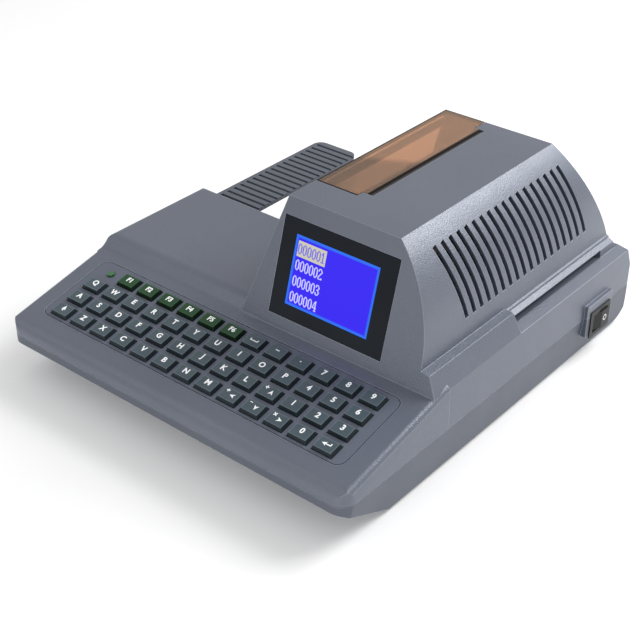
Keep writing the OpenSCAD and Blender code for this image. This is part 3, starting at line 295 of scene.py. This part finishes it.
def screen_material():
    """Backlit liquid crystal: deep blue with a lighter border where the backlight leaks."""
    m, t, b, at = new_material("screen_blue")
    axes = node(t, "SeparateXYZ", Vector=at)
    x, y = axes.outputs["X"], axes.outputs["Y"]
    dx = calc(t, "MINIMUM", x, calc(t, "SUBTRACT", VIEW_W / 1000, x))
    dy = calc(t, "MINIMUM", y, calc(t, "SUBTRACT", VIEW_H / 1000, y))
    border = calc(t, "MULTIPLY", calc(t, "MINIMUM", dx, dy), 1 / 0.0026)
    light = ramp(t, border, (0.0, (0.030, 0.20, 1.0)), (0.55, (0.022, 0.16, 1.0)),
                 (0.72, (0.040, 0.018, 1.0)), (1.0, (0.040, 0.016, 1.0)))
    fill(t, b, Emission_Color=light, Emission_Strength=0.85, Base_Color=(0.01, 0.01, 0.06, 1),
         Roughness=0.4, Specular_IOR_Level=0.1, Normal=bump(t, noise(t, at, 3000), 0.03, 0.0001))
    return m


def glow_material(name, low, high, power):
    """Lit dots or a lit bar on the screen."""
    m, t, b, at = new_material(name)
    light = ramp(t, noise(t, at, 900), (0.0, low), (1.0, high))
    fill(t, b, Emission_Color=light, Emission_Strength=power, Base_Color=(0.1, 0.1, 0.1, 1), Roughness=0.3)
    return m


def floor_material():
    m, t, b, at = new_material("floor_pale")
    fill(t, b, Base_Color=tint(t, at, (0.86, 0.86, 0.86), (0.88, 0.88, 0.88), 2), Roughness=0.9,
         Normal=grain(t, at, 40, 0.02, 0.001), Emission_Color=(1, 1, 1, 1), Emission_Strength=0.08)
    return m


MATERIALS = {
    "housing": plastic("housing_plastic", (0.102, 0.116, 0.154), (0.114, 0.130, 0.170), 0.34, 0.42,
                       2600, 0.12, coat=0.25, metallic=0.3, fine=(1300, 0.45, 0.0005), edge=0.7, spec=0.7,
                       edge_highlight=True),
    "lower": plastic("lower_plastic", (0.086, 0.098, 0.126), (0.098, 0.111, 0.141), 0.38, 0.48, 2600, 0.12,
                     metallic=0.25, edge=0.7, edge_highlight=True),
    "panel": plastic("panel_plastic", (0.098, 0.112, 0.149), (0.110, 0.125, 0.163), 0.42, 0.52, 2600, 0.14,
                     metallic=0.15, edge=0.3),
    "tray": plastic("tray_plastic", (0.082, 0.092, 0.116), (0.094, 0.105, 0.131), 0.42, 0.52, 2200, 0.2,
                    metallic=0.1, edge=0.4),
    "rubber": plastic("foot_rubber", (0.012, 0.012, 0.013), (0.020, 0.020, 0.022), 0.7, 0.85, 900, 0.4),
    "mat": plastic("mat_rubber", (0.40, 0.39, 0.35), (0.46, 0.45, 0.41), 0.6, 0.75, 900, 0.3),
    "black": plastic("black_plastic", (0.006, 0.006, 0.007), (0.010, 0.010, 0.011), 0.35, 0.45, 1800, 0.12,
                     spec=0.3),
    "dark": plastic("dark_plastic", (0.020, 0.022, 0.025), (0.028, 0.030, 0.034), 0.45, 0.6, 1500, 0.25),
    "white": plastic("white_plastic", (0.62, 0.60, 0.54), (0.70, 0.68, 0.62), 0.4, 0.5, 1500, 0.15),
    "legend": plastic("legend_ink", (0.92, 0.93, 0.93), (0.96, 0.97, 0.97), 0.45, 0.6, 1500, 0.1),
    "bed": plastic("bed_painted_steel", (0.030, 0.034, 0.040), (0.040, 0.045, 0.052), 0.5, 0.6, 1500, 0.15),
    "roller": plastic("roller_rubber", (0.022, 0.022, 0.024), (0.034, 0.034, 0.036), 0.65, 0.8, 700, 0.5),
    "rocker": plastic("rocker_plastic", (0.007, 0.007, 0.008), (0.010, 0.010, 0.011), 0.40, 0.50,
                      1800, 0.12, edge=0.3, spec=0.3),
    "steel": metal("plate_steel", (0.46, 0.47, 0.48), (0.56, 0.57, 0.58), 0.3, 0.42),
    "rod": metal("rod_steel", (0.66, 0.67, 0.69), (0.74, 0.75, 0.77), 0.12, 0.2, (60, 1, 60)),
    "screw": metal("screw_steel", (0.40, 0.40, 0.41), (0.50, 0.50, 0.51), 0.3, 0.4),
    "brass": metal("gear_brass", (0.62, 0.46, 0.18), (0.70, 0.54, 0.24), 0.25, 0.38),
    "alu": metal("head_aluminium", (0.42, 0.44, 0.46), (0.50, 0.52, 0.54), 0.35, 0.45),
    "motor": metal("motor_can", (0.10, 0.11, 0.12), (0.14, 0.15, 0.16), 0.35, 0.5),
    "core": metal("core_steel", (0.30, 0.27, 0.20), (0.38, 0.34, 0.26), 0.45, 0.6),
    "key": key_material("key_plastic", (0.050, 0.074, 0.090), (0.060, 0.087, 0.104), (0.014, 0.022, 0.027),
                        (0.150, 0.190, 0.215)),
    "green": key_material("key_green_plastic", (0.006, 0.044, 0.012), (0.008, 0.054, 0.015),
                          (0.002, 0.012, 0.004), (0.025, 0.100, 0.035)),
    "board": board_material(),
    "lid": lid_material(),
    "window": window_material(),
    "lamp": lamp_material(),
    "screen": screen_material(),
    "dots": glow_material("screen_dots", (0.46, 0.46, 1.0), (0.56, 0.54, 1.0), 1.0),
    "bar": glow_material("screen_bar", (0.50, 0.48, 0.36), (0.60, 0.57, 0.44), 0.9),
    "ink": glow_material("screen_ink", (0.05, 0.03, 0.75), (0.07, 0.04, 0.85), 0.8),
}

# every node that isn't a key
NODE_MATERIALS = {
    "upper_housing": "housing", "lower_housing": "lower", "rubber_feet": "rubber", "housing_screws": "screw",
    "keyboard_panel": "panel", "key_mat": "mat", "keypad_board": "board", "status_lamp": "lamp",
    "display_window": "window", "display_module": "board", "window_lid": "lid", "paper_tray": "tray",
    "switch_body": "black", "switch_rocker": "rocker", "power_inlet": "black", "main_board": "board",
    "power_supply": "core", "front_plate": "steel", "rear_plate": "steel", "guide_rods": "rod",
    "paper_bed": "bed", "platen": "roller", "head_carriage": "dark", "print_head": "alu",
    "carriage_belt": "roller", "carriage_motor": "motor", "motor_pulley": "brass", "idler_pulley": "white",
    "ribbon_deck": "steel", "ribbon_cartridge": "dark", "entry_roller": "roller", "exit_roller": "roller",
    "entry_pinch_roller": "roller", "exit_pinch_roller": "roller", "feed_motor": "motor",
    "feed_pinion": "brass", "idler_gear": "white",
}
for name, part in nodes.items():
    kind = NODE_MATERIALS.get(name, "green" if name.startswith("key_f") else "key")
    part.data.materials.clear()
    part.data.materials.append(MATERIALS[kind])


# ---------------------------------------------------------------- drawing thin pieces, in metres
def add(name, bm, matrix, material, body):
    """A mesh piece in its own frame, placed and set on a body."""
    me = bpy.data.meshes.new(name)
    bm.to_mesh(me)
    bm.free()
    o = bpy.data.objects.new(name, me)
    bpy.context.scene.collection.objects.link(o)
    o.matrix_world = matrix
    me.materials.append(MATERIALS[material])
    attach(o, body)


def glyph(bm, text, size, cx, cy, z):
    """Blender's own font as a thin solid, centred on cx, cy, added to bm."""
    cu = bpy.data.curves.new("glyph", "FONT")
    cu.body = text
    cu.size = size
    cu.align_x = "CENTER"
    cu.extrude = 0.00004
    cu.offset = size * 0.032
    cu.resolution_u = 3
    ob = bpy.data.objects.new("glyph", cu)
    bpy.context.scene.collection.objects.link(ob)
    bpy.context.view_layer.update()
    me = bpy.data.meshes.new_from_object(ob.evaluated_get(bpy.context.evaluated_depsgraph_get()))
    xs = [v.co.x for v in me.vertices]
    ys = [v.co.y for v in me.vertices]
    middle = Vector(((min(xs) + max(xs)) / 2, (min(ys) + max(ys)) / 2, 0))
    me.transform(Matrix.Translation(Vector((cx, cy, z))) @ Matrix.Translation(-middle))
    bm.from_mesh(me)
    bpy.data.objects.remove(ob)
    bpy.data.curves.remove(cu)
    bpy.data.meshes.remove(me)


def shape(bm, points, z, thick=0.00006):
    """A flat polygon as a thin plate with its top at z."""
    top = [bm.verts.new((x, y, z)) for x, y in points]
    low = [bm.verts.new((x, y, z - thick)) for x, y in points]
    bm.faces.new(top)
    n = len(points)
    for i in range(n):
        bm.faces.new((top[i], low[i], low[(i + 1) % n], top[(i + 1) % n]))


def rect(bm, x0, y0, x1, y1, z, thick):
    shape(bm, [(x0, y0), (x1, y0), (x1, y1), (x0, y1)], z, thick)


def bar(bm, x0, y0, x1, y1, w, z):
    """A stroke from one point to another."""
    d = Vector((x1 - x0, y1 - y0))
    k = Vector((-d.y, d.x)).normalized() * w / 2
    shape(bm, [(x0 - k.x, y0 - k.y), (x1 - k.x, y1 - k.y), (x1 + k.x, y1 + k.y), (x0 + k.x, y0 + k.y)], z)


def arrow(bm, cx, cy, z, angle, size):
    """An arrow head that points right before it is turned."""
    gap_shade = [(0.55, 0), (-0.5, 0.48), (-0.22, 0), (-0.5, -0.48)]
    c, k = math.cos(angle), math.sin(angle)
    shape(bm, [(cx + size * (x * c - y * k), cy + size * (x * k + y * c)) for x, y in gap_shade], z)


# ---------------------------------------------------------------- key legends
CAP = KEY_H / 1000 + 0.00003
LETTER_SIZE, LETTER_LIFT = 0.0054, 0.0010
FUNCTION_SIZE, FUNCTION_LIFT = LETTER_SIZE * 0.92, 0.0008
SIGN_SIZE, SIGN_X, SIGN_Y = 0.0048, -0.0032, 0.0026
SIGNS = {"+": "+", "/": "÷", "*": "×"}
# beside a sign: x, y, angle and size of its arrow; # and = are the shift and enter arrows
ARROWS = {
    "+": (0.0016, 0.0002, math.pi / 2, 0.0034),
    "/": (0.0016, 0.0002, math.pi, 0.0034),
    "-": (0.0016, 0.0002, -math.pi / 2, 0.0034),
    "*": (0.0016, 0.0002, 0.0, 0.0034),
    "#": (0.0, 0.0014, math.pi / 2, 0.0036),
    "=": (-0.0018, 0.0004, math.pi, 0.0030),
}
# from x, y to x, y and the stroke's width
STROKES = {
    "-": [(-0.0042, 0.0026, -0.0022, 0.0026, 0.00045)],
    "#": [(0.0, -0.0012, 0.0, 0.0010, 0.0010)],
    "=": [(-0.0012, 0.0004, 0.0026, 0.0004, 0.0007), (0.0026, 0.00005, 0.0026, 0.0020, 0.0007)],
    "_": [(-0.0030, 0.0, 0.0030, 0.0, 0.0006), (-0.0027, 0.0, -0.0027, 0.0014, 0.0006),
          (0.0027, 0.0, 0.0027, 0.0014, 0.0006)],
    "~": [(-0.0014, 0.0012, 0.0014, 0.0012, 0.0006)],
    ".": [(-0.0004, 0.0010, 0.0004, 0.0010, 0.0008)],
}


def key_centre(row, column):
    """Middle of a key on the deck, in millimetres."""
    return KEY_X1 + (column - 12) * PITCH_X - KEY_W / 2, KEY_S0 + (3 - row) * PITCH_S + KEY_D / 2


def legend(bm, mark, ox, oy):
    """The mark on one key, about the key's centre."""
    if mark in SIGNS:
        glyph(bm, SIGNS[mark], SIGN_SIZE, ox + SIGN_X, oy + SIGN_Y, CAP)
    if mark in ARROWS:
        x, y, angle, size = ARROWS[mark]
        arrow(bm, ox + x, oy + y, CAP, angle, size)
    for x0, y0, x1, y1, width in STROKES.get(mark, []):
        bar(bm, ox + x0, oy + y0, ox + x1, oy + y1, width, CAP)
    if mark in ARROWS or mark in STROKES:
        return
    if len(mark) == 2:
        glyph(bm, mark, FUNCTION_SIZE, ox, oy + FUNCTION_LIFT, CAP)
    else:
        glyph(bm, mark, LETTER_SIZE, ox, oy + LETTER_LIFT, CAP)


def key_marks(name, body, marks):
    """All the marks that ride on one body: marks is [(row, column, mark)]."""
    bm = bmesh.new()
    x0, s0 = key_centre(marks[0][0], marks[0][1])
    for row, column, mark in marks:
        x, s = key_centre(row, column)
        legend(bm, mark, (x - x0) / 1000, (s - s0) / 1000)
    add(name, bm, deck_matrix(x0, s0), "legend", body)


# row and column of each key, from the rear and from the left
DIGIT_KEYS = {0: (3, 11), 1: (2, 10), 2: (2, 11), 3: (2, 12), 4: (1, 10), 5: (1, 11), 6: (1, 12),
              7: (0, 10), 8: (0, 11), 9: (0, 12)}
SIGN_KEYS = {"plus": (2, 9, "+"), "minus": (3, 9, "-"), "times": (3, 10, "*"), "divide": (3, 8, "/"),
             "enter": (3, 12, "=")}
LETTER_ROWS = ["QWERTYUIOP", "ASDFGHJKL", "#ZXCVBNM"]

for i in range(1, 7):
    key_marks("mark_f%d" % i, "key_f%d_body" % i, [(0, i, "F%d" % i)])
for digit, (row, column) in DIGIT_KEYS.items():
    key_marks("mark_%d" % digit, "key_%d_body" % digit, [(row, column, str(digit))])
for name, place in SIGN_KEYS.items():
    key_marks("mark_" + name, "key_%s_body" % name, [place])
key_marks("marks_top_row", "keys_top_row_body", [(0, 7, "_"), (0, 8, "~"), (0, 9, ".")])
key_marks("marks_letters", "keys_letters_body",
          [(row, column, letter) for row, letters in enumerate(LETTER_ROWS, 1)
           for column, letter in enumerate(letters)])

# ---------------------------------------------------------------- lit screen, in metres
SCREEN_N = -0.27                    # millimetres behind the tower's face
SCREEN_W, SCREEN_H = VIEW_W / 1000, VIEW_H / 1000
DOT_X, DOT_Y = 0.00044, 0.00060
CELL, TEXT_LENGTH = 8, 6            # dots from one digit to the next, digits in a row
TEXT_X, TEXT_TOP, ROW_STEP = 0.0026, SCREEN_H - 0.0048, 0.0100
BAR_LEFT, BAR_BELOW, BAR_ABOVE = 0.0004, 0.0082, 0.0016
GLYPHS = {
    "0": "..###.. .##.##. ##...## ##...## ##...## ##...## ##...## ##...## ##...## .##.##. ..###..",
    "1": "..##... .###... ####... ..##... ..##... ..##... ..##... ..##... ..##... ..##... ######.",
    "2": ".####.. ##..##. ##...## .....## ....##. ...##.. ..##... .##.... ##..... ##...## #######",
    "3": ".####.. ##..##. ##...## .....## ....##. ..###.. ....##. .....## ##...## ##..##. .####..",
    "4": "....##. ...###. ..####. ..#.##. .##.##. .#..##. ##..##. ####### ....##. ....##. ...####",
}


def dots(bm, text, top, z):
    """A row of digits; dots that touch in a line are one piece."""
    for i, digit in enumerate(text):
        for j, line in enumerate(GLYPHS[digit].split()):
            run = 0
            for k, cell in enumerate(line + "."):
                if cell == "#":
                    run += 1
                elif run:
                    left = TEXT_X + (i * CELL + k - run) * DOT_X
                    right = TEXT_X + (i * CELL + k) * DOT_X
                    y = top - j * DOT_Y
                    rect(bm, left, y - DOT_Y, right, y, z, 0.00001)
                    run = 0


screen_base = face_matrix(WIN_X + VIEW_X, WIN_S + VIEW_S, SCREEN_N)
bm = bmesh.new()
rect(bm, 0, 0, SCREEN_W, SCREEN_H, 0.0, 0.00002)
add("screen_glow", bm, screen_base, "screen", "chassis")

bm = bmesh.new()
rect(bm, TEXT_X - BAR_LEFT, TEXT_TOP - BAR_BELOW, TEXT_X + TEXT_LENGTH * CELL * DOT_X, TEXT_TOP + BAR_ABOVE,
     0.00002, 0.00001)
add("screen_bar", bm, screen_base, "bar", "chassis")

bm = bmesh.new()
dots(bm, "000001", TEXT_TOP, 0.00004)
add("screen_row_1", bm, screen_base, "ink", "chassis")

bm = bmesh.new()
for row in (2, 3, 4):
    dots(bm, "00000%d" % row, TEXT_TOP - (row - 1) * ROW_STEP, 0.00002)
add("screen_rows", bm, screen_base, "dots", "chassis")

# ---------------------------------------------------------------- switch mark, in metres
RING_PARTS, RING_OUT, RING_IN, RING_THICK = 28, 0.0021, 0.0015, 0.000002
RING_BACK = 4.0                     # millimetres behind the switch's middle


def ring_point(radius, i):
    angle = 2 * math.pi * i / RING_PARTS
    return radius * math.cos(angle), radius * math.sin(angle)


bm = bmesh.new()
for i in range(RING_PARTS):
    shape(bm, [ring_point(RING_OUT, i), ring_point(RING_OUT, i + 1), ring_point(RING_IN, i + 1),
               ring_point(RING_IN, i)], RING_THICK, RING_THICK)
face_right = Matrix.Rotation(math.pi / 2, 4, "Z") @ Matrix.Rotation(math.pi / 2, 4, "X")
add("switch_mark_off", bm, Matrix.Translation(mm(TOTAL_W, SWITCH_Y + RING_BACK, SWITCH_Z)) @ face_right,
    "legend", "switch_rocker_body")

# ---------------------------------------------------------------- floor and light
FLOOR = 6.0
floor_mesh = bpy.data.meshes.new("floor")
floor_mesh.from_pydata([(-FLOOR, -FLOOR, 0), (FLOOR, -FLOOR, 0), (FLOOR, FLOOR, 0), (-FLOOR, FLOOR, 0)],
                       [], [(0, 1, 2, 3)])
floor = bpy.data.objects.new("floor", floor_mesh)
bpy.context.scene.collection.objects.link(floor)
floor_mesh.materials.append(floor_material())

world = bpy.data.worlds.new("studio")
bpy.context.scene.world = world
world.use_nodes = True
fill(world.node_tree, world.node_tree.nodes["Background"], Color=(1, 1, 1, 1), Strength=0.68)


def area(name, place, target, width, height, power):
    """A rectangular light turned to its target."""
    d = bpy.data.lights.new(name, "AREA")
    d.energy = power
    d.shape = "RECTANGLE"
    d.size = width
    d.size_y = height
    o = bpy.data.objects.new(name, d)
    bpy.context.scene.collection.objects.link(o)
    o.location = place
    o.rotation_euler = (Vector(target) - Vector(place)).to_track_quat("-Z", "Y").to_euler()


area("main_softbox", (0.58, 0.86, 0.98), (0, 0, 0.08), 0.75, 0.75, 16.5)
area("front_strip", (-0.80, -0.80, 0.95), (0, -0.1, 0.03), 0.35, 0.9, 1.0)
area("fill_light", (0.2, -1.7, 0.40), (0, 0, 0.08), 1.1, 1.1, 8)

# ---------------------------------------------------------------- camera, as solved from the photograph
CAMERA_X, CAMERA_Y, CAMERA_Z = 609.85, -422.39, 500.53
CAMERA_AZIMUTH, CAMERA_ELEVATION = math.radians(39.789), math.radians(32.863)

cam_data = bpy.data.cameras.new("camera")
cam_data.lens = 75.18
cam_data.sensor_width = 36.0
cam_data.sensor_fit = "HORIZONTAL"
cam = bpy.data.objects.new("camera", cam_data)
bpy.context.scene.collection.objects.link(cam)
cam.location = mm(CAMERA_X, CAMERA_Y, CAMERA_Z)
cam.rotation_euler = (math.pi / 2 - CAMERA_ELEVATION, 0, CAMERA_AZIMUTH)
bpy.context.scene.camera = cam
bpy.context.scene.view_settings.view_transform = "Standard"
